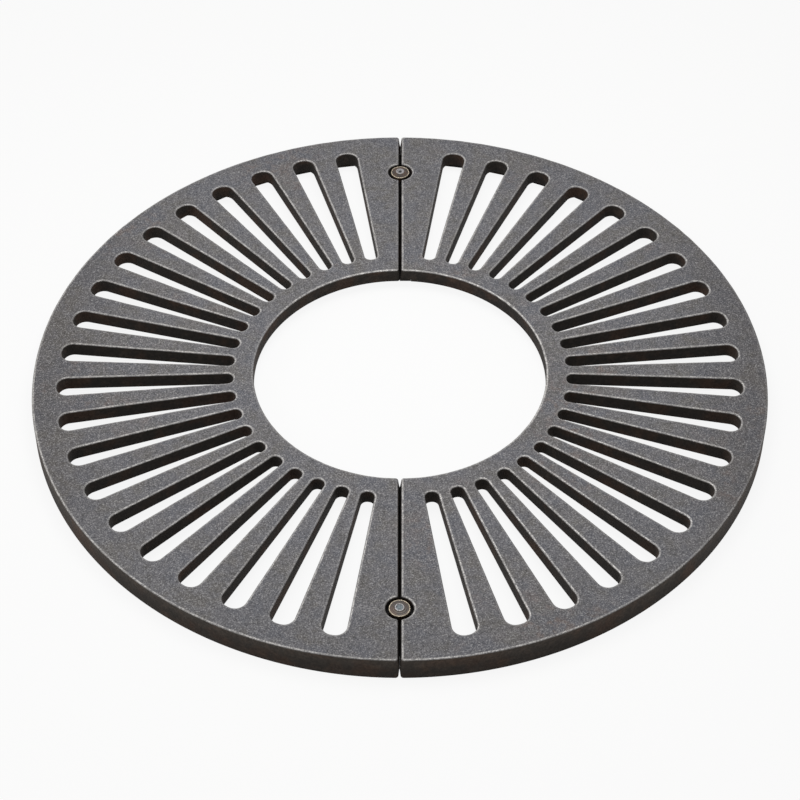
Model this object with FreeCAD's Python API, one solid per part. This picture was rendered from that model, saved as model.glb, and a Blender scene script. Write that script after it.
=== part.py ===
import FreeCAD, Part
import math
import os

from FreeCAD import Vector

# A round tree grate in two cast halves, joined at the seam by two screws.
# The origin is the centre of the circle on the plane that the rim stands on.
# The seam runs along Y, and +Z is up. All lengths are in millimetres.

# The casting as a whole
GRATE_DIAMETER = 900.0
TRUNK_OPENING_DIAMETER = 360.0
WEB_THICKNESS = 19.0
SEAM_GAP = 4.0
TOP_ARRIS = 1.2

# The rim that stands down around the web
RIM_DEPTH = 32.0
RIM_WIDTH = 20.0
RIM_DRAFT_DEG = 3.0

# The tapered radial slots
SLOTS_PER_HALF = 20
FIRST_SLOT_FROM_SEAM_DEG = 10.2
SLOT_INNER_WIDTH = 16.0
SLOT_OUTER_WIDTH = 29.5
SLOT_OUTER_CORNER_RADIUS = 10.0
BAND_AROUND_OPENING = 25.0
BAND_INSIDE_RIM_EDGE = 30.0

# The screws across the seam
SCREW_FROM_RIM_EDGE = 74.0
SCREW_DIAMETER = 12.0
SCREW_HOLE_CLEARANCE = 1.5
SCREW_PROTRUSION = 0.5
HEAD_DIAMETER = 24.0
HEAD_EDGE_HEIGHT = 8.7
HEAD_CROWN_RISE = 1.8
HEAD_BEVEL_WIDTH = 2.0
HEAD_SINK = 0.3
SOCKET_ACROSS_FLATS = 8.0
SOCKET_DEPTH = 5.0
POCKET_SIDE_CLEARANCE = 4.0

# The half-lap at the seam: a ledge cast on the left half, and a rebate for it in the right one
LEDGE_THICKNESS = 5.0
LEDGE_REACH = 14.0
LEDGE_END_SETBACK = 3.0
LEDGE_CLEARANCE = 0.5

# The spring washer and the thin nut under the ledge
WASHER_OUTER_DIAMETER = 21.0
WASHER_THICKNESS = 2.5
WASHER_SPLIT = 1.5
WASHER_SPLIT_TILT_DEG = 20.0
NUT_ACROSS_FLATS = 18.0
NUT_HEIGHT = 6.0
THREAD_CLEARANCE = 0.1

# Radii and heights that follow from the sizes above
GRATE_RADIUS = GRATE_DIAMETER / 2
OPENING_RADIUS = TRUNK_OPENING_DIAMETER / 2
HALF_GAP = SEAM_GAP / 2
TOP = RIM_DEPTH
UNDERSIDE = TOP - WEB_THICKNESS
RIM_INNER_RADIUS = GRATE_RADIUS - RIM_WIDTH
RIM_ROOT_INNER_RADIUS = RIM_INNER_RADIUS - UNDERSIDE * math.tan(math.radians(RIM_DRAFT_DEG))
SLOT_START_RADIUS = OPENING_RADIUS + BAND_AROUND_OPENING
SLOT_END_RADIUS = GRATE_RADIUS - BAND_INSIDE_RIM_EDGE
SLOT_PITCH_DEG = (180.0 - 2 * FIRST_SLOT_FROM_SEAM_DEG) / (SLOTS_PER_HALF - 1)
SCREW_RADIAL_PLACE = GRATE_RADIUS - SCREW_FROM_RIM_EDGE
POCKET_DEPTH = HEAD_EDGE_HEIGHT + HEAD_SINK
POCKET_FLOOR = TOP - POCKET_DEPTH
POCKET_RADIUS = HEAD_DIAMETER / 2 + POCKET_SIDE_CLEARANCE
SCREW_HOLE_RADIUS = (SCREW_DIAMETER + SCREW_HOLE_CLEARANCE) / 2
LEDGE_TOP = UNDERSIDE + LEDGE_THICKNESS
WASHER_BOTTOM = UNDERSIDE - WASHER_THICKNESS
NUT_BOTTOM = WASHER_BOTTOM - NUT_HEIGHT
SCREW_END = NUT_BOTTOM - SCREW_PROTRUSION
THREADED_BORE_RADIUS = SCREW_DIAMETER / 2 + THREAD_CLEARANCE

# A cutting solid passes this far beyond the faces that it cuts
OVERCUT = 5.0
# Two lengths closer than this are the same when edges are picked
SAME = 0.01

UP = Vector(0, 0, 1)
ORIGIN = Vector(0, 0, 0)


def block(low, high):
    """A box between two corners."""
    size = high - low
    return Part.makeBox(size.x, size.y, size.z, low)


def turned(points):
    """A solid turned about Z from a closed outline of (radius, height) points."""
    corners = [Vector(radius, 0, height) for radius, height in points]
    outline = Part.makePolygon(corners + corners[:1])
    return Part.Face(outline).revolve(ORIGIN, UP, 360)


def is_upright(edge, x):
    """True for a straight edge parallel to Z at this distance along X."""
    if len(edge.Vertexes) != 2:
        return False
    start = edge.Vertexes[0].Point
    end = edge.Vertexes[1].Point
    return math.hypot(end.x - start.x, end.y - start.y) < SAME and abs(start.x - x) < SAME


def ring_casting():
    """The whole ring before it is parted: web plate and drafted rim."""
    profile = [
        (OPENING_RADIUS, UNDERSIDE),
        (OPENING_RADIUS, TOP - TOP_ARRIS),
        (OPENING_RADIUS + TOP_ARRIS, TOP),
        (GRATE_RADIUS - TOP_ARRIS, TOP),
        (GRATE_RADIUS, TOP - TOP_ARRIS),
        (GRATE_RADIUS, 0),
        (RIM_INNER_RADIUS, 0),
        (RIM_ROOT_INNER_RADIUS, UNDERSIDE),
    ]
    return turned(profile)


def slot_cutter():
    """One tapered slot along +X, fully round at its inner end and with two rounded outer corners."""
    low = UNDERSIDE - OVERCUT
    half_inner = SLOT_INNER_WIDTH / 2
    half_outer = SLOT_OUTER_WIDTH / 2
    taper = math.atan2(half_outer - half_inner, SLOT_END_RADIUS - SLOT_START_RADIUS)
    end_radius = half_inner * math.cos(taper) / (1 - math.sin(taper))
    tangent_x = SLOT_START_RADIUS + end_radius * (1 - math.sin(taper))
    tangent_y = end_radius * math.cos(taper)
    corners = [
        Vector(tangent_x, -tangent_y, low),
        Vector(SLOT_END_RADIUS, -half_outer, low),
        Vector(SLOT_END_RADIUS, half_outer, low),
        Vector(tangent_x, tangent_y, low),
    ]
    inner_end = Part.Arc(corners[3], Vector(SLOT_START_RADIUS, 0, low), corners[0])
    plan = Part.Face(Part.Wire(Part.makePolygon(corners).Edges + [inner_end.toShape()]))
    cutter = plan.extrude(UP * (WEB_THICKNESS + 2 * OVERCUT))
    outer = [edge for edge in cutter.Edges if is_upright(edge, SLOT_END_RADIUS)]
    return cutter.makeFillet(SLOT_OUTER_CORNER_RADIUS, outer)


def slot_pattern():
    """The slots of the right half, evenly spaced from one seam end to the other."""
    first = slot_cutter()
    cutters = []
    for number in range(SLOTS_PER_HALF):
        from_rear_seam = FIRST_SLOT_FROM_SEAM_DEG + number * SLOT_PITCH_DEG
        cutter = first.copy()
        cutter.rotate(ORIGIN, UP, 90.0 - from_rear_seam)
        cutters.append(cutter)
    return cutters


def screw_places():
    """Name and centre, on the rim's plane, of each screw."""
    return [
        ("front", Vector(0, -SCREW_RADIAL_PLACE, 0)),
        ("rear", Vector(0, SCREW_RADIAL_PLACE, 0)),
    ]


def head_pockets():
    """The round pockets that hold the screw heads across the seam."""
    pockets = []
    for _, place in screw_places():
        floor_centre = place + UP * POCKET_FLOOR
        pockets.append(Part.makeCylinder(POCKET_RADIUS, POCKET_DEPTH + OVERCUT, floor_centre))
    return pockets


def screw_holes():
    """The clearance holes under the pockets."""
    holes = []
    for _, place in screw_places():
        holes.append(Part.makeCylinder(SCREW_HOLE_RADIUS, TOP + 2 * OVERCUT, place - UP * OVERCUT))
    return holes


def plain_half():
    """The right half with its slots, pockets and screw holes, before the half-lap."""
    right_side = block(
        Vector(HALF_GAP, -GRATE_RADIUS - OVERCUT, -OVERCUT),
        Vector(GRATE_RADIUS + OVERCUT, GRATE_RADIUS + OVERCUT, TOP + OVERCUT),
    )
    half = ring_casting().common(right_side)
    return half.cut(slot_pattern() + head_pockets() + screw_holes())


def at_both_ends(rear_shape):
    """A shape on the rear arm of the seam and its mirror image on the front arm."""
    return [rear_shape, rear_shape.mirror(ORIGIN, Vector(0, 1, 0))]


def lap_ledge():
    """The ledge on the rear arm of the seam. Where it meets the rim it only fills the gap."""
    start = OPENING_RADIUS + LEDGE_END_SETBACK
    rim_root = RIM_ROOT_INNER_RADIUS - LEDGE_CLEARANCE
    rim_edge = GRATE_RADIUS - LEDGE_END_SETBACK
    left = -HALF_GAP - LEDGE_REACH
    in_web = block(Vector(left, start, UNDERSIDE), Vector(LEDGE_REACH, rim_root, LEDGE_TOP))
    in_gap = block(
        Vector(left, rim_root, UNDERSIDE),
        Vector(HALF_GAP - LEDGE_CLEARANCE, rim_edge, LEDGE_TOP),
    )
    return in_web.fuse(in_gap)


def ledge_rebate():
    """The cut in the right half, open to the seam and to the opening, that takes the rear ledge."""
    return block(
        Vector(0, 0, UNDERSIDE - OVERCUT),
        Vector(LEDGE_REACH + LEDGE_CLEARANCE, RIM_ROOT_INNER_RADIUS, LEDGE_TOP),
    )


def right_half_grate(half):
    """The half that rests on the ledges."""
    return half.cut(at_both_ends(ledge_rebate()))


def left_half_grate(half):
    """The half that carries the ledges."""
    mirrored = half.mirror(ORIGIN, Vector(1, 0, 0))
    body = mirrored.fuse(at_both_ends(lap_ledge()))
    return body.removeSplitter().cut(screw_holes())


def hexagon_prism(across_flats, low, height):
    """A hexagonal prism standing on the plane z = low."""
    corner_radius = across_flats / math.sqrt(3)
    corners = []
    for number in range(6):
        angle = math.radians(60 * number)
        corners.append(Vector(corner_radius * math.cos(angle), corner_radius * math.sin(angle), low))
    return Part.Face(Part.makePolygon(corners + corners[:1])).extrude(UP * height)


def screw():
    """Bevelled cheese-head screw with a hexagon socket, standing on the pocket floor."""
    head_radius = HEAD_DIAMETER / 2
    edge_top = POCKET_FLOOR + HEAD_EDGE_HEIGHT
    crown_top = edge_top + HEAD_CROWN_RISE
    profile = [
        (0, SCREW_END),
        (SCREW_DIAMETER / 2, SCREW_END),
        (SCREW_DIAMETER / 2, POCKET_FLOOR),
        (head_radius, POCKET_FLOOR),
        (head_radius, edge_top),
        (head_radius - HEAD_BEVEL_WIDTH, crown_top),
        (0, crown_top),
    ]
    socket = hexagon_prism(SOCKET_ACROSS_FLATS, crown_top - SOCKET_DEPTH, SOCKET_DEPTH + OVERCUT)
    return turned(profile).cut(socket)


def spring_washer():
    """Flat-pressed split washer against the underside of the ledge."""
    base = Vector(0, 0, WASHER_BOTTOM)
    outer_radius = WASHER_OUTER_DIAMETER / 2
    ring = Part.makeCylinder(outer_radius, WASHER_THICKNESS, base)
    ring = ring.cut(Part.makeCylinder(THREADED_BORE_RADIUS, WASHER_THICKNESS, base))
    split = block(
        Vector(0, -WASHER_SPLIT / 2, -WASHER_THICKNESS - OVERCUT),
        Vector(outer_radius + OVERCUT, WASHER_SPLIT / 2, WASHER_THICKNESS + OVERCUT),
    )
    split.rotate(ORIGIN, Vector(1, 0, 0), WASHER_SPLIT_TILT_DEG)
    split.translate(base + UP * (WASHER_THICKNESS / 2))
    return ring.cut(split)


def nut():
    """Thin hexagon nut under the washer."""
    prism = hexagon_prism(NUT_ACROSS_FLATS, NUT_BOTTOM, NUT_HEIGHT)
    return prism.cut(Part.makeCylinder(THREADED_BORE_RADIUS, NUT_HEIGHT, Vector(0, 0, NUT_BOTTOM)))


def all_pieces():
    """Every piece by name, in its place."""
    half = plain_half()
    pieces = {"right_half_grate": right_half_grate(half), "left_half_grate": left_half_grate(half)}
    for end, place in screw_places():
        for name, make in (("screw", screw), ("spring_washer", spring_washer), ("nut", nut)):
            piece = make()
            piece.translate(place)
            pieces[end + "_" + name] = piece
    return pieces


def main():
    os.makedirs("parts", exist_ok=True)
    for name, shape in all_pieces().items():
        solids = shape.Solids
        if len(solids) != 1 or not solids[0].isValid():
            raise ValueError(name + " is not one valid solid")
        solids[0].exportStep(os.path.join("parts", name + ".step"))


main()
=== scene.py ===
import math

import bpy
import numpy as np
from bpy.props import FloatProperty, FloatVectorProperty, IntProperty, PointerProperty
from mathutils import Matrix, Vector, noise
from mathutils.geometry import delaunay_2d_cdt


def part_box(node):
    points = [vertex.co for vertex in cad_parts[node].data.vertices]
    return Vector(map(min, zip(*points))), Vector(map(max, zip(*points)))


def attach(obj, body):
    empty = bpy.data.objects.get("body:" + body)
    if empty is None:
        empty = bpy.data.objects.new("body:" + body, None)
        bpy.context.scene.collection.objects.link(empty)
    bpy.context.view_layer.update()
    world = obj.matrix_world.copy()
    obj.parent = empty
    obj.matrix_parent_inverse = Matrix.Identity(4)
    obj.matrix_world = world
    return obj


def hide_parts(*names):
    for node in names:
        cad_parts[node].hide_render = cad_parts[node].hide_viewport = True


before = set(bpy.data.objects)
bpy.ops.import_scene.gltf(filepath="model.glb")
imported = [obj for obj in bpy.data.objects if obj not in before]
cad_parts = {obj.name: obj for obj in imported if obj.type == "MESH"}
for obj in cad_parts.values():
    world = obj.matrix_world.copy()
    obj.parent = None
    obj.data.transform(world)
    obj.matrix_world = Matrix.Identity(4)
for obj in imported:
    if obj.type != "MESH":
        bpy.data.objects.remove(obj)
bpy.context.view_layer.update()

# A round cast iron tree grate in two halves. Lengths are in metres, in the frame of the packed
# model: the origin is the centre of the circle, on the plane that the rim stands on, and the
# seam runs along Y. The left half is made as the mirror image of a right one.

bl_info = {
    "name": "Tree Grate",
    "version": (1, 0, 0),
    "blender": (4, 5, 0),
    "location": "View3D > Sidebar > Tree Grate",
    "description": "Builds a two-piece cast iron tree grate with its fasteners, finishes and stage",
    "category": "Add Mesh",
}

RIGHT_LOW, RIGHT_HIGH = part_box("right_half_grate")
LEFT_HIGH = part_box("left_half_grate")[1]
SCREW_LOW, SCREW_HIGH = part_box("rear_screw")
WASHER_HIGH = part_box("rear_spring_washer")[1]
NUT_LOW, NUT_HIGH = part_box("rear_nut")
MM = 0.001
UP = Vector((0, 0, 1))
QUARTER = math.pi / 2
# Places this close are one, and so are facings whose dot product is above this
SAME_PLACE = 1e-7
SAME_FACING = 0.99
# Triangles of which twice the area is below this are left out
SLIVER = 1e-14


def linear(hex_colour):
    """The linear RGBA of an sRGB hex colour such as #808080."""
    channels = []
    for place in (1, 3, 5):
        value = int(hex_colour[place:place + 2], 16) / 255
        channels.append(value / 12.92 if value <= 0.04045 else ((value + 0.055) / 1.055) ** 2.4)
    return (*channels, 1.0)


def length(name, description, default):
    """A length property in metres."""
    return FloatProperty(
        name=name, description=description, default=default, subtype="DISTANCE", unit="LENGTH"
    )


def degrees(name, description, default):
    """An angle property whose default is written in degrees."""
    return FloatProperty(
        name=name, description=description, default=math.radians(default), subtype="ANGLE"
    )


def colour(name, description, hex_colour):
    """A colour property whose default is written as sRGB hex."""
    return FloatVectorProperty(
        name=name, description=description, default=linear(hex_colour), size=4, min=0.0, max=1.0,
        subtype="COLOR",
    )


class GrateSizes(bpy.types.PropertyGroup):
    """Sizes of the two castings."""

    outer_radius: length("Outer radius", "Radius of the rim's outside", RIGHT_HIGH.x)
    opening_radius: length("Opening radius", "Radius of the trunk opening", 180 * MM)
    half_gap: length("Half gap", "Half the width of the seam", RIGHT_LOW.x)
    seam_lean: length("Seam lean", "How far a seam wall leans over, down to the lap", 1.85 * MM)
    rim_depth: length("Rim depth", "From the ground to the walking face", RIGHT_HIGH.z)
    web_thickness: length(
        "Web thickness", "Thickness of the slotted plate", RIGHT_HIGH.z - WASHER_HIGH.z
    )
    rim_width: length("Rim width", "Width of the rim's foot", 20 * MM)
    rim_draft: degrees("Rim draft", "Slope of the rim's inner wall", 3)
    root_radius: length("Root radius", "Fillet under the web, where it meets the rim", 4 * MM)
    edge_radius: length("Edge radius", "Mean rounding of the walking face's edges", 1.8 * MM)
    foot_radius: length("Foot radius", "Rounding of the rim's lower edges", 1.5 * MM)
    under_radius: length(
        "Under radius", "Rounding of the lower edges of slots and opening", 0.9 * MM
    )
    corner_radius: length(
        "Corner radius", "Rounding of the seam's corners, seen from above", 3 * MM
    )
    slots_per_half: IntProperty(
        name="Slots per half", description="Radial slots in each casting", default=20
    )
    first_slot_angle: degrees("First slot angle", "From the seam to the first slot", 10.2)
    slot_start: length("Slot start", "Radius at which the slots begin", 205 * MM)
    slot_end: length("Slot end", "Radius at which the slots end", 420 * MM)
    slot_inner_width: length("Slot inner width", "Width of a slot at its inner end", 16 * MM)
    slot_outer_width: length("Slot outer width", "Width of a slot at its outer end", 29.5 * MM)
    slot_inner_corner: length("Slot inner corner", "Corner radius at the inner end", 7.6 * MM)
    slot_outer_corner: length("Slot outer corner", "Corner radius at the outer end", 13 * MM)
    screw_place: length(
        "Screw place", "Distance of each screw from the centre", (SCREW_LOW.y + SCREW_HIGH.y) / 2
    )
    pocket_radius: length("Pocket radius", "Radius of the pocket for a screw head", 16 * MM)
    pocket_depth: length("Pocket depth", "Depth of that pocket", 9 * MM)
    screw_hole_radius: length("Screw hole radius", "Hole under the pocket", 6.75 * MM)
    ledge_reach: length("Ledge reach", "How far the ledge passes the seam's middle", LEFT_HIGH.x)
    ledge_thickness: length("Ledge thickness", "Thickness of the half-lap's ledge", 5 * MM)
    ledge_setback: length("Ledge setback", "From the rim's outside to the ledge", 3 * MM)
    ledge_start: length("Ledge start", "From the opening to the ledge", 0.8 * MM)
    ledge_clearance: length("Ledge clearance", "Gap beside the ledge", 0.1 * MM)


class FastenerSizes(bpy.types.PropertyGroup):
    """Sizes of the screws and nuts."""

    head_radius: length("Head radius", "Radius of the screw's head", SCREW_HIGH.x)
    shank_radius: length("Shank radius", "Radius of the threaded shank", 6 * MM)
    ring_height: length("Ring height", "Height of the head's rubbed outer edge", 31.7 * MM)
    crown_height: length("Crown height", "Height of the crown round the socket", SCREW_HIGH.z)
    ring_width: length("Ring width", "Width of the rubbed outer edge", 0.9 * MM)
    boss_radius: length("Boss radius", "Radius of the collar round the socket", 5.5 * MM)
    socket_flats: length("Socket flats", "Hexagon socket, across flats", 8 * MM)
    grit_depth: length("Grit depth", "From the crown down to the grit in the socket", 0.9 * MM)
    grit_low_angle: degrees(
        "Grit's low side", "Angle from +X to the side where the grit lies deepest", 225
    )
    thread_pitch: length("Thread pitch", "Pitch of the thread", 1.75 * MM)
    thread_depth: length("Thread depth", "Depth of the thread", 0.9 * MM)
    nut_flats: length("Nut flats", "Nut, across flats", NUT_HIGH.y - NUT_LOW.y)
    chamfer_share: FloatProperty(
        name="Chamfer share", description="The nut's chamfer circle as a share of its width",
        default=0.94, subtype="FACTOR",
    )


class Finishes(bpy.types.PropertyGroup):
    """Colours of the finishes and of the stage."""

    iron_skin: colour("Iron skin", "Weathered walking face of the castings", "#69686B")
    iron_cool: colour("Iron, cool", "Bluish oxide in the casting skin", "#66676D")
    iron_warm: colour("Iron, warm", "Brownish oxide in the casting skin", "#6C6966")
    iron_rust: colour("Iron rust", "Thin rust on the walking face", "#705F54")
    iron_spark: colour("Iron sparks", "Crests of the sand grains, rubbed by feet", "#A8A6A6")
    # Rubbed edges, laid on more strongly where an edge faces left or front as a painted highlight
    iron_wear_and_highlight: colour("Worn iron", "Edges rubbed by feet and brooms", "#D0CDC9")
    iron_pit: colour("Iron pits", "Grit and oxide between the sand grains", "#353435")
    # Also laid over the far left and right of the walking face as painted shade
    iron_wall_and_side_shade: colour("Iron walls", "Sheltered walls, black-brown with old oxide", "#443E39")
    wall_rust: colour("Wall rust", "Old red-brown rust on the sheltered walls", "#63432F")
    # Painted shade: near black, laid low on the walls, deeper in slots and opening, on the sunk
    # floors and in the rear socket's middle
    iron_painted_shade: colour("Iron hollows", "Grit and soot in pockets and seam", "#0F0D0C")
    ring_steel: colour("Ring steel", "Rubbed edge of the screw head", "#CFC2AB")
    brown_steel: colour("Brown steel", "Browned face of the screw head", "#38312C")
    collar_steel: colour("Collar steel", "Worn collar round the socket", "#9C999A")
    socket_grit: colour("Socket grit", "Blue-grey grit packed in the socket", "#565D61")
    zinc: colour("Zinc", "Dulled zinc on washers and nuts", "#8D8C88")
    zinc_rust: colour("Zinc rust", "Rust bloom through the zinc", "#6E4B33")
    paper: colour("Paper", "Pale studio floor", "#DEDEDC")


# Plan outlines


class Spot:
    """A point of a plan outline, with the direction that points out of the iron there.

    under tells how much its lower edge is rounded, and wear how often its upper edge is rubbed.
    """

    def __init__(self, place, facing, under=0.0, wear=0.7):
        self.place = place
        self.facing = facing
        self.under = under
        self.wear = wear

    def mirrored(self):
        """The same spot on the other side of the X axis."""
        place, facing = (Vector((arm.x, -arm.y)) for arm in (self.place, self.facing))
        return Spot(place, facing, self.under, self.wear)

    def turned(self, angle):
        """The same spot turned about the centre of the grate."""
        cosine, sine = math.cos(angle), math.sin(angle)
        place, facing = (
            Vector((arm.x * cosine - arm.y * sine, arm.x * sine + arm.y * cosine))
            for arm in (self.place, self.facing)
        )
        return Spot(place, facing, self.under, self.wear)


CENTRE = Vector((0.0, 0.0))
# Spots lie at most this far apart along straight lines and large arcs, and round the pockets
SPOT_STEP = 3 * MM
STEP_SLACK = 1e-6
POCKET_STEP = 1.2 * MM
CORNER_SEGMENTS = 8
HOLE_SEGMENTS = 24
# Roundings seen from above, where the seam meets a pocket and where it meets the rim's inner wall
POCKET_CORNER = 2 * MM
ROOT_CORNER = 1.5 * MM
# Across the rim the ledge fills the seam, up to this far from the other half's leaning wall
FILLER_CLEARANCE = 0.03 * MM
SEAM_MARKS = {"wear": 0.72}
RIM_MARKS = {"wear": 0.8}
POCKET_MARKS = {"wear": 0.8}
OPENING_MARKS = {"under": 1.0, "wear": 1.05}
SLOT_MARKS = {"under": 1.0, "wear": 0.8}


def plan_arc(centre, radius, start, end, segments, convex=True, **marks):
    """Spots along an arc. A convex arc has its iron on the side of its centre."""
    spots = []
    for number in range(segments + 1):
        angle = start + (end - start) * number / segments
        outward = Vector((math.cos(angle), math.sin(angle)))
        spots.append(Spot(centre + outward * radius, outward if convex else -outward, **marks))
    return spots


def large_arc(radius, start, end, convex, **marks):
    """An arc about the centre of the grate."""
    segments = max(1, math.ceil(abs(end - start) * radius / SPOT_STEP))
    return plan_arc(CENTRE, radius, start, end, segments, convex, **marks)


def plan_line(start, end, **marks):
    """Spots along a straight line with the iron on its left."""
    along = (end - start).normalized()
    facing = Vector((along.y, -along.x))
    segments = max(1, math.ceil((end - start).length / SPOT_STEP - STEP_SLACK))
    places = (start.lerp(end, number / segments) for number in range(segments + 1))
    return [Spot(place, facing, **marks) for place in places]


def repeats(spot, other):
    """True where two spots are one: same place and same facing."""
    near = (spot.place - other.place).length < SAME_PLACE
    return near and spot.facing.dot(other.facing) > SAME_FACING


def joined(*runs):
    """One list of spots from several runs, without repeats."""
    spots = []
    for run in runs:
        for spot in run:
            if not spots or not repeats(spot, spots[-1]):
                spots.append(spot)
    return spots


def whole(*runs):
    """The closed outline of these runs and their mirror image on the other side of the X axis."""
    rear = joined(*runs)
    spots = joined(rear, [spot.mirrored() for spot in reversed(rear)])
    while repeats(spots[0], spots[-1]):
        spots.pop()
    return spots


class SeamCorner:
    """The rounding between the seam line and a circle round a centre on the Y axis.

    iron_inside tells on which side of the circle the iron lies, and above on which side of the
    circle's centre the corner lies.
    """

    def __init__(self, half_gap, radius, circle_y, circle_radius, iron_inside, above=True):
        reach = circle_radius - radius if iron_inside else circle_radius + radius
        across = half_gap + radius
        rise = math.sqrt(reach * reach - across * across) * (1 if above else -1)
        self.radius = radius
        self.centre = Vector((across, circle_y + rise))
        self.circle_angle = math.atan2(rise, across)
        self.touch_angle = (self.circle_angle + (0 if iron_inside else math.pi)) % math.tau
        self.seam_spot = Vector((half_gap, self.centre.y))

    def rounding(self, start, end, **marks):
        """Spots along the rounding between two angles."""
        return plan_arc(self.centre, self.radius, start, end, CORNER_SEGMENTS, **marks)

    def to_seam(self, **marks):
        """Spots from the circle to the seam."""
        return self.rounding(self.touch_angle, math.pi, **marks)

    def from_seam(self, **marks):
        """Spots from the seam to the circle."""
        return self.rounding(math.pi, self.touch_angle, **marks)


class HalfPlan:
    """Plan outlines of a right half, with the iron on their left.

    Each is drawn from the rim's middle over the rear arm of the seam to the opening's middle,
    and mirrored in front.
    """

    def __init__(self, sizes):
        self.sizes = sizes
        self.rebate = sizes.ledge_reach + sizes.ledge_clearance
        self.root_radius = self.rim_inside(sizes.rim_depth - sizes.web_thickness)
        self.rim_corner, self.opening_corner, self.root_corner = (
            SeamCorner(sizes.half_gap, rounding, 0.0, circle_radius, iron_inside)
            for rounding, circle_radius, iron_inside in (
                (sizes.corner_radius, sizes.outer_radius, True),
                (sizes.corner_radius, sizes.opening_radius, False),
                (ROOT_CORNER, self.root_radius, False),
            )
        )
        self.rebate_angle = math.acos(self.rebate / sizes.opening_radius)
        self.rebate_root_angle = math.acos(self.rebate / self.root_radius)

    def rim_inside(self, height):
        """Radius of the rim's drafted inner wall at this height."""
        sizes = self.sizes
        return sizes.outer_radius - sizes.rim_width - height * math.tan(sizes.rim_draft)

    def rim_outside(self):
        """The outside of the rim, from its middle to the rear corner of the seam."""
        corner = self.rim_corner
        arc = large_arc(self.sizes.outer_radius, 0.0, corner.circle_angle, True, **RIM_MARKS)
        return joined(arc, corner.to_seam(**RIM_MARKS))

    def opening_arc(self, start, end):
        """The opening's wall between two angles."""
        return large_arc(self.sizes.opening_radius, start, end, False, **OPENING_MARKS)

    def opening_side(self):
        """From the seam round the opening's rear corner to the opening's middle."""
        corner = self.opening_corner
        beside = self.opening_arc(corner.circle_angle, self.rebate_angle)
        rounding = corner.from_seam(**OPENING_MARKS)
        return joined(rounding, beside, self.opening_arc(self.rebate_angle, 0.0))

    def walking_face(self):
        """The outline at the top, with the round pockets for the screw heads."""
        sizes, radius = self.sizes, self.sizes.pocket_radius
        rear, front = (
            SeamCorner(sizes.half_gap, POCKET_CORNER, sizes.screw_place, radius, False, above)
            for above in (True, False)
        )
        centre = Vector((0.0, sizes.screw_place))
        segments = round(math.pi * radius / POCKET_STEP)
        angles = rear.circle_angle, front.circle_angle
        return whole(
            self.rim_outside(),
            plan_line(self.rim_corner.seam_spot, rear.seam_spot, **SEAM_MARKS),
            rear.from_seam(**POCKET_MARKS),
            plan_arc(centre, radius, *angles, segments, False, **POCKET_MARKS),
            front.to_seam(**POCKET_MARKS),
            plan_line(front.seam_spot, self.opening_corner.seam_spot, **SEAM_MARKS),
            self.opening_side(),
        )

    def screw_hole(self, start, end):
        """Spots on the rear screw hole's wall between two angles."""
        centre = Vector((0.0, self.sizes.screw_place))
        return plan_arc(centre, self.sizes.screw_hole_radius, start, end, HOLE_SEGMENTS, False)

    def above_lap(self):
        """The outline between the pocket floors and the half-lap."""
        mouth = math.acos(self.sizes.half_gap / self.sizes.screw_hole_radius)
        hole = self.screw_hole(mouth, -mouth)
        return whole(
            self.rim_outside(),
            plan_line(self.rim_corner.seam_spot, hole[0].place),
            hole,
            plan_line(hole[-1].place, self.opening_corner.seam_spot),
            self.opening_side(),
        )

    def rim_end(self):
        """The rear end of the rim alone, from its middle round the seam to its inner wall."""
        corner, back = self.root_corner, self.rebate_root_angle
        return joined(
            self.rim_outside(),
            plan_line(self.rim_corner.seam_spot, corner.seam_spot),
            corner.from_seam(),
            large_arc(self.root_radius, corner.circle_angle, back, False),
        )

    def rebated(self):
        """The outline beside the ledge, where the right half is cut back for it."""
        rim_end, opening_end = (
            Vector((self.rebate, radius * math.sin(angle))) for radius, angle in (
                (self.root_radius, self.rebate_root_angle),
                (self.sizes.opening_radius, self.rebate_angle),
            )
        )
        opening = self.opening_arc(self.rebate_angle, 0.0)
        return whole(self.rim_end(), plan_line(rim_end, opening_end), opening)

    def rim_ring(self):
        """The outline of the rim alone, at the root of its inner wall."""
        wall = large_arc(self.root_radius, self.rebate_root_angle, 0.0, False)
        return whole(self.rim_end(), wall)

    def ledged(self):
        """The outline at the ledge's height, with the ledge that reaches across the seam."""
        sizes = self.sizes
        gap, filler = sizes.half_gap, sizes.seam_lean - sizes.half_gap + FILLER_CLEARANCE
        rim_end = sizes.outer_radius - sizes.ledge_setback
        root = self.root_radius - sizes.ledge_clearance
        start = sizes.opening_radius + sizes.ledge_start
        points = [
            self.rim_corner.seam_spot,
            *(Vector(corner) for corner in (
                (gap, rim_end), (filler, rim_end), (filler, root),
                (-sizes.ledge_reach, root), (-sizes.ledge_reach, start), (gap, start),
            )),
            self.opening_corner.seam_spot,
        ]
        sides = (plan_line(*ends) for ends in zip(points, points[1:]))
        return whole(self.rim_outside(), *sides, self.opening_side())

    def ledge_holes(self):
        """The screw holes through the ledge."""
        rear = self.screw_hole(math.tau, 0.0)[:-1]
        return [rear, [spot.mirrored() for spot in reversed(rear)]]

    def slot(self, number):
        """The outline of one tapered slot."""
        sizes = self.sizes
        pitch = (math.pi - 2 * sizes.first_slot_angle) / (sizes.slots_per_half - 1)
        half_in, half_out = sizes.slot_inner_width / 2, sizes.slot_outer_width / 2
        taper = math.atan2(half_out - half_in, sizes.slot_end - sizes.slot_start)
        inner, outer = sizes.slot_inner_corner, sizes.slot_outer_corner
        slant, stretch = math.tan(taper), 1 / math.cos(taper)
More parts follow.
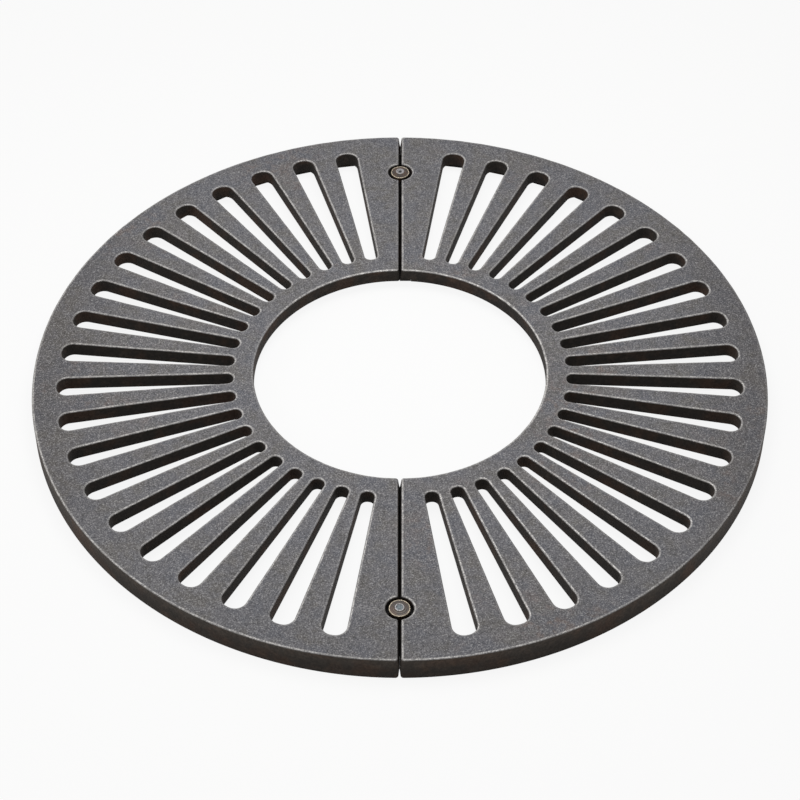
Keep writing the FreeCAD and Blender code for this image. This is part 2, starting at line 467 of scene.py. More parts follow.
        # Centres of the corner arcs, which touch the end lines and the slanted sides
        inner_at = Vector((sizes.slot_start + inner, half_in + inner * (slant - stretch)))
        outer_at = Vector((sizes.slot_end - outer, half_out - outer * (slant + stretch)))
        side = QUARTER + taper
        outer_arc = plan_arc(outer_at, outer, side, 0.0, CORNER_SEGMENTS + 2, False, **SLOT_MARKS)
        inner_arc = plan_arc(inner_at, inner, math.pi, side, CORNER_SEGMENTS, False, **SLOT_MARKS)
        side_line = plan_line(inner_arc[-1].place, outer_arc[0].place, **SLOT_MARKS)
        turn = QUARTER - sizes.first_slot_angle - number * pitch
        return [spot.turned(turn) for spot in whole(inner_arc, side_line, outer_arc)]


# Meshes


def inside_loop(points, loop):
    """For each point, whether it lies in the closed loop of places."""
    x, y = points.T
    inside = np.zeros(len(points), dtype=bool)
    for (x0, y0), (x1, y1) in zip(loop, np.roll(loop, -1, axis=0)):
        if y0 != y1:
            crosses = (y0 > y) != (y1 > y)
            inside ^= crosses & (x < (x1 - x0) * (y - y0) / (y1 - y0) + x0)
    return inside


KEYS_PER_METRE = 1e7


class Skin:
    """Gathers a piece's faces, with a normal at each of their corners and a mark at each point.

    A corner is a place, a normal and a mark, and a row is a closed loop of corners.
    """

    def __init__(self):
        self.places = []
        self.known = {}
        self.marks = []
        self.faces = []
        self.normals = []

    def point(self, place, mark):
        """The index of a place, which is added if it isn't known yet."""
        key = tuple(round(value * KEYS_PER_METRE) for value in place)
        if key not in self.known:
            self.known[key] = len(self.places)
            self.places.append(tuple(place))
            self.marks.append(mark)
        return self.known[key]

    def face(self, corners):
        """A face from corners, without those that repeat another."""
        indices, normals = [], []
        for place, normal, mark in corners:
            index = self.point(place, mark)
            if index not in indices:
                indices.append(index)
                normals.append(normal)
        if len(indices) > 2:
            self.faces.append(indices)
            self.normals.extend(normals)

    def wrap(self, rows):
        """Quads between rows, from the top row down."""
        for upper, lower in zip(rows, rows[1:]):
            for number in range(len(upper)):
                after = (number + 1) % len(upper)
                self.face([upper[number], lower[number], lower[after], upper[after]])

    def close(self, row, height, normal, place_y):
        """Closes a row round a screw's axis with faces that meet on the axis, at this height."""
        mark = row[0][2]
        centre = ((0.0, place_y, height), normal, mark)
        for here, after in zip(row, row[1:] + row[:1]):
            corners = [here, after] if normal.z > 0 else [after, here]
            self.face([(place, normal, mark) for place, _, _ in corners] + [centre])

    def step(self, height, above, below):
        """The flat faces at a height where the rows of iron above and below it differ.

        Iron that ends upwards faces up, and iron that ends downwards faces down.
        """
        above, below = (
            [[corner[0][:2] for corner in row] for row in rows] for rows in (above, below)
        )
        points, edges = [], []
        for loop in above + below:
            first = len(points)
            points.extend(loop)
            edges.extend((first + n, first + (n + 1) % len(loop)) for n in range(len(loop)))
        made = delaunay_2d_cdt([Vector(point) for point in points], edges, [], 0, SAME_PLACE)
        plan = [
            points[origins[0]] if origins else tuple(place)
            for place, origins in zip(made[0], made[3])
        ]
        centres = np.array(plan)[np.array(made[2])].mean(axis=1)
        iron_above, iron_below = np.zeros((2, len(centres)), dtype=bool)
        for iron, loops in ((iron_above, above), (iron_below, below)):
            for loop in loops:
                iron ^= inside_loop(centres, np.array(loop))
        for number in np.flatnonzero(iron_above != iron_below):
            upwards = bool(iron_below[number])
            corners = [plan[index] for index in made[2][number]]
            (x0, y0), (x1, y1), (x2, y2) = corners
            turn = (x1 - x0) * (y2 - y0) - (x2 - x0) * (y1 - y0)
            if abs(turn) < SLIVER:
                continue
            if (turn > 0) != upwards:
                corners.reverse()
            normal = UP if upwards else -UP
            self.face([((*corner, height), normal, 0.0) for corner in corners])

    def mesh(self, name, attribute, mirrored=False):
        """The mesh, or its mirror image in the plane of the seam."""
        places, faces, normals = self.places, self.faces, self.normals
        if mirrored:
            places = [(-x, y, z) for x, y, z in places]
            turned, first = [], 0
            for face in faces:
                block = normals[first:first + len(face)]
                turned.extend(Vector((-n.x, n.y, n.z)) for n in reversed(block))
                first += len(face)
            normals = turned
            faces = [list(reversed(face)) for face in faces]
        mesh = bpy.data.meshes.new(name)
        mesh.from_pydata(places, [], faces)
        mesh.polygons.foreach_set("use_smooth", [True] * len(mesh.polygons))
        marks = mesh.attributes.new(attribute, "FLOAT", "POINT")
        marks.data.foreach_set("value", self.marks)
        mesh.normals_split_custom_set([tuple(normal) for normal in normals])
        mesh.update()
        return mesh


def leaning(spot, tilt):
    """The spot's facing, leaned up by this angle."""
    level = math.cos(tilt)
    return Vector((spot.facing.x * level, spot.facing.y * level, math.sin(tilt)))


def shifted(spot, inwards, height):
    """The place this far into the iron from a spot, at this height."""
    return (
        spot.place.x - spot.facing.x * inwards, spot.place.y - spot.facing.y * inwards, height
    )


def level_row(spots, height):
    """One row on the outline itself."""
    return [(shifted(spot, 0.0, height), leaning(spot, 0.0), 0.0) for spot in spots]


# Feet and brooms have worn the rounding of an edge unevenly, over about this length
WEAR_LENGTH = 16 * MM
WEAR_VARIATION = 0.3
ROUND_STEPS = 5
# How rubbed the rounding is, from its start on the walking face down to the wall
RUB_PROFILE = (0.9, 1.0, 0.75, 0.35, 0.1, 0.0)
# How rubbed an edge is on the whole, and the painted highlight added where it faces left and where
# it faces front, as if lit from the front left
RUB_MEAN, PAINTED_HIGHLIGHT_LEFT, PAINTED_HIGHLIGHT_FRONT = 0.55, 0.35, 0.2
# Flat strips beside the rounding, on the walking face and on the wall
FACE_STRIP = 0.7 * MM
WALL_STRIP = 0.2 * MM
# The fillet at the rim starts this far beyond the ledge, and is full after that length
FILLET_START = 2 * MM
FILLET_RUN = 10 * MM
# Spots that face the centre more squarely than this lie on the rim's inner wall
WALL_FACING = 0.9
# The seam's lean fades to nothing this far into the iron, and this near to a screw's axis
LEAN_REACH = 6 * MM
UPRIGHT_RADIUS = 8 * MM
# How much of the lean there is at the ground, under the web, at the half-lap and at the top
LEAN_PROFILE = (0.4, 1, 1, 0)


def spots_with_wear_and_highlight(spots, radius, side):
    """Each spot with its own rounding, varied by wear, and how bright its edge is: rubbed by wear,
    plus a painted highlight where it faces left or front.

    side is -1 for the left half, which is drawn mirrored.
    """
    worn = []
    for spot in spots:
        wear = noise.noise(Vector((*spot.place, 0.0)) / WEAR_LENGTH)
        x, y = spot.facing
        # The mean share is wear, and the shares for facing left and facing front are painted
        # highlight
        rubbed = spot.wear * (RUB_MEAN - PAINTED_HIGHLIGHT_LEFT * side * x ** 3 - PAINTED_HIGHLIGHT_FRONT * y)
        worn.append((spot, radius * (1 + WEAR_VARIATION * wear), rubbed))
    return worn


def top_rows(spots, radius, top, side):
    """Rows from the walking face over the rounded edge and a little way down the wall."""
    widest = radius * (1 + WEAR_VARIATION)
    rows = [[(shifted(spot, widest + FACE_STRIP, top), UP, 0.0) for spot in spots]]
    worn = spots_with_wear_and_highlight(spots, radius, side)
    for step, rub in enumerate(RUB_PROFILE):
        tilt = QUARTER * (1 - step / ROUND_STEPS)
        inwards, down = 1 - math.cos(tilt), 1 - math.sin(tilt)
        rows.append([
            (shifted(spot, here * inwards, top - here * down), leaning(spot, tilt), rub * rubbed)
            for spot, here, rubbed in worn
        ])
    rows.append(level_row(spots, top - widest - WALL_STRIP))
    return rows


def under_rows(spots, radius, bottom):
    """Rows down the wall and round its lower edge, where the spot asks for it."""
    rows = []
    for step in range(ROUND_STEPS + 1):
        tilt = -QUARTER * step / ROUND_STEPS
        inwards, height = radius * (1 - math.cos(tilt)), bottom + radius * (1 + math.sin(tilt))
        rows.append([
            (shifted(spot, inwards * spot.under, height), leaning(spot, tilt * spot.under), 0.0)
            for spot in spots
        ])
    return rows


def rim_rows(plan, under):
    """Rows down the rim, from the fillet under the web to the rounded foot."""
    sizes, ring = plan.sizes, plan.rim_ring()
    fillet_start = sizes.ledge_reach + FILLET_START
    # How squarely a spot faces the centre, as those on the rim's inner wall do
    inner = [max(0.0, -spot.facing.dot(spot.place.normalized())) for spot in ring]
    rows = []
    for step in range(ROUND_STEPS + 1):
        swing = QUARTER * step / ROUND_STEPS
        row = []
        for spot, on_wall in zip(ring, inner):
            grown = min(1.0, max(0.0, (spot.place.x - fillet_start) / FILLET_RUN))
            fillet = sizes.root_radius * grown if on_wall > WALL_FACING else 0.0
            inwards, down = -fillet * (1 - math.sin(swing)), fillet * (1 - math.cos(swing))
            lean = swing - QUARTER if fillet > 0 else 0.0
            row.append((shifted(spot, inwards, under - down), leaning(spot, lean), 0.0))
        rows.append(row)
    for step in range(ROUND_STEPS + 1):
        tilt = -QUARTER * step / ROUND_STEPS
        height = sizes.foot_radius * (1 + math.sin(tilt))
        inwards = sizes.foot_radius * (1 - math.cos(tilt))
        draft = plan.rim_inside(height) - plan.root_radius
        rows.append([
            (shifted(spot, inwards + draft * on_wall, height), leaning(spot, tilt), 0.0)
            for spot, on_wall in zip(ring, inner)
        ])
    return rows


def leaned(sizes, place):
    """The place where the lean of the seam's walls brings it.

    The walls lean together from the walking face down to the half-lap, and a little apart again
    below the web. Next to the screws they stand upright.
    """
    x, y, z = place
    near = 1 - (x - sizes.half_gap) / LEAN_REACH
    if near <= 0 or x < sizes.half_gap - SAME_PLACE:
        return place
    under = sizes.rim_depth - sizes.web_thickness
    heights = (0, under, under + sizes.ledge_thickness, sizes.rim_depth)
    share = np.interp(z, heights, LEAN_PROFILE)
    from_screw = math.hypot(x, abs(y) - sizes.screw_place)
    share *= np.interp(from_screw, (UPRIGHT_RADIUS, sizes.pocket_radius), (0, 1))
    return (x - sizes.seam_lean * near * float(share), y, z)


def casting_skin(sizes, with_ledge):
    """A casting, drawn as a right half: with the left half's ledges, or the rebates for them."""
    plan = HalfPlan(sizes)
    top = sizes.rim_depth
    floor = top - sizes.pocket_depth
    under = top - sizes.web_thickness
    lap = under + sizes.ledge_thickness
    upper, middle, lower, holes = plan.walking_face(), plan.above_lap(), plan.rebated(), []
    if with_ledge:
        lower, holes = plan.ledged(), plan.ledge_holes()
    slots = [plan.slot(number) for number in range(sizes.slots_per_half)]
    skin = Skin()

    # Walking face, its rounded edges and the walls down to the pocket floors
    side = -1 if with_ledge else 1
    edge = top_rows(upper, sizes.edge_radius, top, side)
    slot_edges = [top_rows(slot, sizes.edge_radius, top, side) for slot in slots]
    skin.step(top, [], [rows[0] for rows in (edge, *slot_edges)])
    skin.wrap([*edge, level_row(upper, floor)])

    # Pocket floors, and the walls from there down to the half-lap
    skin.step(floor, [level_row(upper, floor)], [level_row(middle, floor)])
    skin.wrap([level_row(middle, floor), level_row(middle, lap)])

    # The half-lap's flat, and the walls below it
    skin.step(lap, [level_row(middle, lap)], [level_row(loop, lap) for loop in (lower, *holes)])
    feet = under_rows(lower, sizes.under_radius, under)
    skin.wrap([level_row(lower, lap), *feet])
    web_feet = [feet[-1]]
    for hole in holes:
        skin.wrap([level_row(hole, lap), level_row(hole, under)])
        web_feet.append(level_row(hole, under))

    # Slot walls
    for slot, slot_edge in zip(slots, slot_edges):
        feet = under_rows(slot, sizes.under_radius, under)
        skin.wrap(slot_edge + feet)
        web_feet.append(feet[-1])

    # Underside of the web, and the rim below it
    rim = rim_rows(plan, under)
    skin.step(under, web_feet, [rim[0]])
    skin.wrap(rim)
    skin.step(0.0, [rim[-1]], [])
    skin.places = [leaned(sizes, place) for place in skin.places]
    return skin


TURN_SEGMENTS = 96
# Which part of a screw a point belongs to, as its finish reads it
BROWN, RING, COLLAR, GRIT, THREAD = 0.0, 0.25, 0.5, 0.75, 1.0
# How much more and less grit lies at the sides of a socket than in its middle
GRIT_SLOPE = 0.7
# From a screw's head to the end of its neck, and to its first turn of thread
NECK_LENGTH, THREAD_START = 1.2 * MM, 1.5 * MM
# Room below the last turn, and the height and width of the chamfer at a screw's tip
TIP_ROOM, TIP_HEIGHT, TIP_INSET = 1.2 * MM, 0.8 * MM, 1.4 * MM
# A nut's chamfer, the lean of the surface on it, and the gap round the thread
CHAMFER = math.radians(30)
CHAMFER_LEAN = QUARTER - 0.52
BORE_GAP = 0.1 * MM


def turned_row(radius, height, lean, mark, place_y):
    """A row round a screw's axis. radius and height may be functions of the angle."""
    row = []
    for number in range(TURN_SEGMENTS):
        angle = math.tau * number / TURN_SEGMENTS
        reach, level = (
            value(angle) if callable(value) else value for value in (radius, height)
        )
        outward = Vector((math.cos(angle), math.sin(angle), 0))
        place = (outward.x * reach, place_y + outward.y * reach, level)
        row.append((place, outward * math.cos(lean) + UP * math.sin(lean), mark))
    return row


def hexagon(across_flats):
    """The radius, as a function of the angle, of a hexagon with two corners on the X axis."""
    def radius(angle):
        return across_flats / 2 / math.cos(angle % (math.pi / 3) - math.pi / 6)
    return radius


def screw_skin(sizes, grate, place_y):
    """A screw: rubbed outer ring, browned face, worn collar, hexagon socket with grit, shank."""
    floor = grate.rim_depth - grate.pocket_depth
    head, ring, crown = sizes.head_radius, sizes.ring_height, sizes.crown_height
    boss, width = sizes.boss_radius, sizes.ring_width
    shank, pitch, depth = sizes.shank_radius, sizes.thread_pitch, sizes.thread_depth
    socket = hexagon(sizes.socket_flats)
    skin = Skin()

    # Radius, height, lean of the surface and finish, from the socket's edge outwards and down
    profile = (
        (socket, crown - 0.1 * MM, QUARTER, COLLAR),
        (boss - 0.5 * MM, crown, QUARTER, COLLAR),
        (boss - 0.15 * MM, crown - 0.08 * MM, 0.8, COLLAR),
        (boss, crown - 0.4 * MM, 0.3, COLLAR),
        (boss + 0.05 * MM, crown - 0.9 * MM, 0.5, BROWN),
        (boss + 0.6 * MM, crown - 1.15 * MM, 1.4, BROWN),
        ((boss + head - width) / 2, crown - 1.45 * MM, 1.45, BROWN),
        (head - width - 0.5 * MM, ring - 0.45 * MM, 1.5, BROWN),
        (head - width - 0.1 * MM, ring - 0.4 * MM, 2.4, BROWN),
        (head - width + 0.1 * MM, ring - 0.05 * MM, 2.0, RING),
        (head - width * 0.55, ring, QUARTER, RING),
        (head - 0.25 * MM, ring - 0.12 * MM, 0.9, RING),
        (head, ring - 0.5 * MM, 0.1, RING),
        (head, ring - 1.2 * MM, 0.0, BROWN),
        (head, floor + 0.4 * MM, 0.0, BROWN),
        (head - 0.4 * MM, floor, -0.8, BROWN),
    )
    rows = [turned_row(*point, place_y) for point in profile]
    skin.wrap(rows)

    # Socket, down to the grit that fills it
    def grit(angle):
        swing = math.cos(angle - sizes.grit_low_angle)
        return crown - sizes.grit_depth * (1 + GRIT_SLOPE * swing)

    walls = [
        turned_row(socket, height, math.pi, GRIT, place_y) for height in (grit, crown - 0.1 * MM)
    ]
    skin.wrap(walls)
    skin.close(walls[0], crown - sizes.grit_depth, UP, place_y)

    # Underside of the head, plain neck and threaded shank, whose thread is one helix
    neck = turned_row(shank, floor, -QUARTER, BROWN, place_y)
    skin.wrap([[(place, -UP, mark) for place, _, mark in rows[-1]], neck])
    neck_end, thread_start, tip = floor - NECK_LENGTH, floor - THREAD_START, SCREW_LOW.z
    turns = math.floor((thread_start - tip - TIP_ROOM) / pitch) - 1

    def thread(share):
        def height(angle):
            return thread_start - share * pitch - pitch * angle / math.tau
        return height

    shape = [(shank, floor, 0.0, BROWN), (shank, neck_end, 0.0, BROWN)]
    for turn in range(turns):
        shape.append((shank - depth, thread(turn), 0.6, THREAD))
        shape.append((shank, thread(turn + 0.5), 0.0, THREAD))
    shape.append((shank - depth, tip + TIP_HEIGHT, -0.4, THREAD))
    shape.append((shank - TIP_INSET, tip, -0.8, THREAD))
    helix = [turned_row(*point, place_y) for point in shape]
    skin.wrap(helix)
    skin.close(helix[-1], tip, -UP, place_y)
    return skin


def flat_side_normal(angle):
    """The normal of the hexagon's side at this angle."""
    side = (math.floor(angle / (math.pi / 3)) + 0.5) * math.pi / 3
    return Vector((math.cos(side), math.sin(side), 0))


def nut_skin(sizes, place_y):
    """A thin hexagon nut with chamfered corners."""
    low, high = NUT_LOW.z, NUT_HIGH.z
    outline = hexagon(sizes.nut_flats)
    circle = sizes.nut_flats / 2 * sizes.chamfer_share
    slope = math.tan(CHAMFER)
    bore = sizes.shank_radius + BORE_GAP

    def upper(angle):
        return high - (outline(angle) - circle) * slope

    def lower(angle):
        return low + (outline(angle) - circle) * slope

    # Radius, height and lean of the surface, from the bore over the sides and back
    profile = (
        (bore, high, QUARTER), (circle, high, QUARTER), (circle, high, CHAMFER_LEAN),
        (outline, upper, CHAMFER_LEAN), (outline, upper, 0.0), (outline, (low + high) / 2, 0.0),
        (outline, lower, 0.0), (outline, lower, -CHAMFER_LEAN), (circle, low, -CHAMFER_LEAN),
        (circle, low, -QUARTER), (bore, low, -QUARTER), (bore, low, math.pi),
        (bore, high, math.pi),
    )
    rows = [turned_row(*point, 0.0, place_y) for point in profile]
    # The six flat sides face straight out, and not outwards from the axis as a cylinder does
    for index in (4, 5, 6):
        rows[index] = [
            (place, flat_side_normal(math.tau * number / TURN_SEGMENTS), mark)
            for number, (place, _, mark) in enumerate(rows[index])
        ]
    skin = Skin()
    skin.wrap(rows)
    return skin


def build_piece(mesh, material, node):
    """Puts a finished mesh in the scene in place of a CAD node."""
    piece = bpy.data.objects.new(mesh.name, mesh)
    bpy.context.scene.collection.objects.link(piece)
    mesh.materials.append(material)
    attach(piece, "root")
    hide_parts(node)


# Finishes


# The attributes that the finishes read: how rubbed an edge is, with its painted highlight, and
# which part of a screw it is
WEAR_AND_HIGHLIGHT = "rubbed"
PART = "part"
WHITE = (1, 1, 1, 1)


def add(tree, kind, inputs=(), output=0, **settings):
    """Adds a node with its settings, values and links, and gives back one of its outputs."""
    node = tree.nodes.new("ShaderNode" + kind)
    for name, value in settings.items():
        setattr(node, name, value)
    for socket, value in dict(inputs).items():
        if isinstance(value, bpy.types.NodeSocket):
            tree.links.new(value, node.inputs[socket])
        else:
            node.inputs[socket].default_value = value
    return node.outputs[output] if node.outputs else None


def new_material(name):
    """An empty node material and its tree."""
    material = bpy.data.materials.new(name)
    material.use_nodes = True
    tree = material.node_tree
    tree.nodes.clear()
    return material, tree


def share(tree, *bands):
    """How far a step of a finish goes: the product of its bands.

    A band is a pattern, the two values between which it is eased, and the share at each of them,
    which is 0 and 1 where it is left out.
    """
    product = None
    for band in bands:
        eased = add(tree, "MapRange", enumerate(band), interpolation_type="SMOOTHSTEP")
        if product is None:
            product = eased
        else:
            product = add(tree, "Math", {0: product, 1: eased}, operation="MULTIPLY")
    return product


def laid(tree, under, over, *bands):
    """A colour laid over another one, as far as the bands go."""
    return add(
        tree, "Mix", {0: share(tree, *bands), 6: under, 7: over}, 2, data_type="RGBA"
    )


def shaded(tree, plain, *band):
    """A colour made darker and lighter along a band."""
    shade = share(tree, band)
    grey = add(tree, "CombineColor", {0: shade, 1: shade, 2: shade})
    inputs = {0: 1.0, 6: plain, 7: grey}
    return add(tree, "Mix", inputs, 2, data_type="RGBA", blend_type="MULTIPLY")


def finished(tree, inputs):
    """The principled shader with these inputs, led to the output."""
    shader = add(tree, "BsdfPrincipled", inputs)
    add(tree, "OutputMaterial", {0: shader})


def sand_cast_iron(sizes, finishes):
    """Sand-cast grey iron, weathered outdoors.

    A dull grey skin, grainy from the mould's sand, with faint cool and brown oxide clouds, thin
    bright lines where feet have rubbed the edges, with a painted highlight where an edge faces left
    or front, and black-brown sheltered walls, with painted shade laid low on the walls, inside the
    rim, on the sunk floors and at the far left and right of the face.
    """
    material, tree = new_material("sand_cast_iron_weathered")
    place = add(tree, "TexCoord", output="Object")
    sideways, _, height = add(tree, "SeparateXYZ", {0: place}).node.outputs
    aside = add(tree, "Math", {0: sideways}, operation="ABSOLUTE")
    away = add(tree, "VectorMath", {0: place}, "Value", operation="LENGTH")
    normal = add(tree, "NewGeometry", output="Normal")
    level = add(tree, "SeparateXYZ", {0: normal}, "Z")
    # How rubbed each edge is, with a painted highlight on edges that face left or front
    rubbed = add(tree, "Attribute", output="Fac", attribute_name=WEAR_AND_HIGHLIGHT)
    top, rim = sizes.rim_depth, sizes.outer_radius
    # Foundry sand leaves grains of 0.3 mm, drawn at 1.5 mm so that they show from a step away, in
    # clusters of 4 mm. The oxide lies in clouds of 12 mm, 45 mm and 150 mm, and the rubbed line is
    # broken up at 7 mm and at 2 mm
    grain, clusters, speckle, cloud, field, long_breaks, short_breaks = (
        add(tree, "TexNoise", {
            "Vector": place, "Scale": 1 / size, "Detail": detail, "Roughness": roughness,
        })
        for size, detail, roughness in (
            (1.5 * MM, 1.0, 0.5), (4 * MM, 2.0, 0.6), (12 * MM, 3.0, 0.6), (45 * MM, 3.0, 0.55),
            (150 * MM, 3.0, 0.6), (7 * MM, 2.0, 0.6), (1.8 * MM, 1.0, 0.5),
        )
    )

    skin = laid(tree, finishes.iron_warm, finishes.iron_cool, (cloud, 0.38, 0.64))
    skin = laid(tree, skin, finishes.iron_skin, (speckle, 0.38, 0.62, 0.2, 0.8))
    thin_rust = (field, 0.52, 0.72), (speckle, 0.46, 0.66, 0.0, 0.5)
    skin = laid(tree, skin, finishes.iron_rust, *thin_rust)
    # Painted shade darkens the far left and right of the walking face, where the light falls off
    skin = laid(tree, skin, finishes.iron_wall_and_side_shade, (aside, 0.70 * rim, 0.96 * rim, 0.0, 0.28))
    skin = shaded(tree, skin, speckle, 0.30, 0.70, 0.93, 1.07)
    skin = laid(tree, skin, finishes.iron_pit, (clusters, 0.30, 0.50, 0.40, 0.0))
    skin = laid(tree, skin, finishes.iron_pit, (grain, 0.26, 0.50, 0.57, 0.0))
    skin = laid(tree, skin, finishes.iron_spark, (grain, 0.52, 0.74, 0.0, 0.64))

    # Walls are sheltered from feet and rain and keep their dark oxide. Painted shade darkens them
    # towards their lower edge, and more in slots and opening than on the rim's outside
    wall = laid(tree, finishes.iron_wall_and_side_shade, finishes.iron_painted_shade, (height, 0.35 * top, top, 0.55, 0.0))
    wall = laid(tree, wall, finishes.iron_painted_shade, (away, rim - 12 * MM, rim - 4 * MM, 0.62, 0.0))
    wall = laid(tree, wall, finishes.iron_rust, (speckle, 0.48, 0.70, 0.0, 0.12))
    wall = laid(tree, wall, finishes.wall_rust, (cloud, 0.45, 0.68, 0.0, 0.22))
    wall = shaded(tree, wall, clusters, 0.30, 0.70, 0.80, 1.25)
    skin = laid(tree, skin, wall, (level, 0.20, 0.88, 1.0, 0.0))
    # Painted shade: the pocket floors and the half-lap at the bottom of the seam are laid near
    # black
    painted_hollow_shade = (height, top - 6 * MM, top - 3.5 * MM, 1.0, 0.0), (level, 0.6, 0.9)
    skin = laid(tree, skin, finishes.iron_painted_shade, *painted_hollow_shade)

    # The rubbed line is bare metal, smoother than the skin. Where an edge faces left or front it is
    # brighter still: a painted highlight
    breaks = (long_breaks, 0.36, 0.58, 0.55, 1.0), (short_breaks, 0.36, 0.60, 0.45, 1.1)
    broken = share(tree, *breaks)
    worn = add(tree, "Math", {0: rubbed, 1: broken}, operation="MULTIPLY")
    bare = add(tree, "Math", {0: worn, 1: 0.5}, operation="MULTIPLY")
    inputs = {0: worn, 6: skin, 7: finishes.iron_wear_and_highlight}
    skin = add(tree, "Mix", inputs, 2, data_type="RGBA")

    # The casting's skin is a little wavy, under the grains
    waves = {"Height": speckle, "Strength": 0.30, "Distance": 0.6 * MM}
    sand = {
        "Height": add(tree, "Math", {0: grain, 1: clusters}, operation="ADD"),
        "Strength": 0.55, "Distance": 0.35 * MM, "Normal": add(tree, "Bump", waves),
    }
    finished(tree, {
        "Base Color": skin, "Metallic": bare, "Specular IOR Level": 0.15,
        "Roughness": share(tree, (worn, 0.0, 1.0, 0.75, 0.42)),
        "Normal": add(tree, "Bump", sand),
    })
    return material


def weathered_screw_steel(sizes, finishes):
    """Turned steel, browned by the weather.

    Fine rings from the lathe show in the brown face. Brooms keep the outer ring and the collar
    bright, and the front socket is packed with blue-grey grit. The rear socket has painted shade in
    its middle, as a deep empty hole.
    """
    material, tree = new_material("screw_steel_browned")
    place = add(tree, "TexCoord", output="Object")
    part = add(tree, "Attribute", output="Fac", attribute_name=PART)
    x, y, _ = add(tree, "SeparateXYZ", {0: place}).node.outputs
    # Distance from the screw's axis, both screws alike
    rearwards = add(tree, "Math", {0: y}, operation="ABSOLUTE")
    rearwards = add(
        tree, "Math", {0: rearwards, 1: sizes.screw_place}, operation="SUBTRACT"
    )
    off_axis = add(tree, "CombineXYZ", {0: x, 1: rearwards})
    across = add(tree, "VectorMath", {0: off_axis}, "Value", operation="LENGTH")
    # Lathe rings 0.2 mm apart, drawn 1.3 mm apart so that they show, and never quite even
    drift = add(tree, "Math", {0: rearwards, 1: 0.06}, operation="MULTIPLY")
    turned = add(tree, "CombineXYZ", {0: across, 1: drift})
    rings, speckle, cloud = (
        add(tree, "TexNoise", {
            "Vector": where, "Scale": 1 / size, "Detail": detail, "Roughness": roughness,
        })
        for where, size, detail, roughness in (
            (turned, 1.3 * MM, 1.0, 0.5), (place, 1.6 * MM, 2.0, 0.6), (place, 9 * MM, 2.0, 0.5),
        )
    )

    def only(mark):
        """The band of points that belong to one part of the screw."""
        off = add(tree, "Math", {0: part, 1: mark}, operation="SUBTRACT")
        off = add(tree, "Math", {0: off}, operation="ABSOLUTE")
        return off, 0.07, 0.14, 1.0, 0.0

    skin = shaded(tree, finishes.brown_steel, rings, 0.35, 0.65, 0.25, 2.1)
    skin = laid(tree, skin, finishes.zinc_rust, (cloud, 0.45, 0.65, 0.0, 0.2))
    uneven = speckle, 0.30, 0.60, 0.55, 1.0
    skin = laid(tree, skin, finishes.ring_steel, only(RING), uneven)
    skin = laid(tree, skin, finishes.collar_steel, only(COLLAR), uneven)
    # The rear socket is nearly empty: painted shade makes it dark in the middle, as a deep hole,
    # and it is worn pale up to its mouth
    grit = shaded(tree, finishes.socket_grit, speckle, 0.35, 0.65, 0.75, 1.2)
    mouth = across, 1.6 * MM, 3.0 * MM
    empty = laid(tree, finishes.iron_painted_shade, finishes.collar_steel, mouth)
    grit = laid(tree, grit, empty, (y, -10 * MM, 10 * MM, 0.0, 0.85))
    skin = laid(tree, skin, grit, only(GRIT))
    skin = shaded(tree, skin, speckle, 0.30, 0.70, 0.82, 1.18)

    marks = {
        "Height": add(tree, "Math", {0: rings, 1: speckle}, operation="ADD"),
        "Strength": 0.35, "Distance": 0.15 * MM,
    }
    finished(tree, {
        "Base Color": skin, "Metallic": 0.30, "Roughness": 0.52,
        "Normal": add(tree, "Bump", marks),
    })
    return material


def dulled_zinc(finishes):
    """Zinc-plated steel, gone matt grey, with rust bloom where the zinc is spent."""
    material, tree = new_material("plain_steel_dulled_zinc")
    place = add(tree, "TexCoord", output="Object")
    # Rust blooms 5 mm across, and a dusty bloom of white zinc 1.5 mm across
    bloom, dust = (
        add(tree, "TexNoise", {
            "Vector": place, "Scale": 1 / size, "Detail": detail, "Roughness": 0.6,
        })
        for size, detail in ((5 * MM, 3.0), (1.5 * MM, 2.0))
    )
    skin = shaded(tree, finishes.zinc, dust, 0.30, 0.70, 0.75, 1.15)
    spent = share(tree, (bloom, 0.50, 0.64))
    inputs = {0: spent, 6: skin, 7: finishes.zinc_rust}
    skin = add(tree, "Mix", inputs, 2, data_type="RGBA")
    crust = {
        "Height": add(tree, "Math", {0: bloom, 1: dust}, operation="ADD"),
        "Strength": 0.4, "Distance": 0.2 * MM,
    }
    finished(tree, {
        "Base Color": skin,
        "Metallic": share(tree, (spent, 0.0, 1.0, 0.7, 0.1)),
        "Roughness": share(tree, (spent, 0.0, 1.0, 0.48, 0.8)),
        "Normal": add(tree, "Bump", crust),
    })
    return material


# The stage


FLOOR_HALF_WIDTH = 12.0
# How much of the paper's look is its own white glow, which leaves the rest for the shadow
PAPER_GLOW = 0.90
# Strength of the world where it is seen, and as light
AIR_SEEN, AIR_LIGHT = 1.0, 0.31
# Name, place, width in metres and power in watts
SOFTBOXES = (
    ("overhead_softbox", (-0.03, 0.07, 1.15), 0.9, 10.3),
    ("left_softbox", (-2.0, -0.3, 1.5), 1.2, 10.0),
)
# The camera looks down at this angle, at a point a little in front of the grate's centre
CAMERA_TILT = math.radians(45.73)
CAMERA_ROLL = math.radians(0.07)
CAMERA_DISTANCE = 2.7714
CAMERA_AIM = (0.0002, -0.0524)
CAMERA_LENS = 102.74
CAMERA_SENSOR = 36.0


def seen(tree):
    """1 for a ray that shows the stage itself: straight, in a reflection or through something."""
    rays = add(tree, "LightPath").node.outputs
    shown = rays["Is Camera Ray"]
    for kind in ("Is Glossy Ray", "Is Transmission Ray"):
        shown = add(tree, "Math", {0: shown, 1: rays[kind]}, operation="MAXIMUM")
    return shown


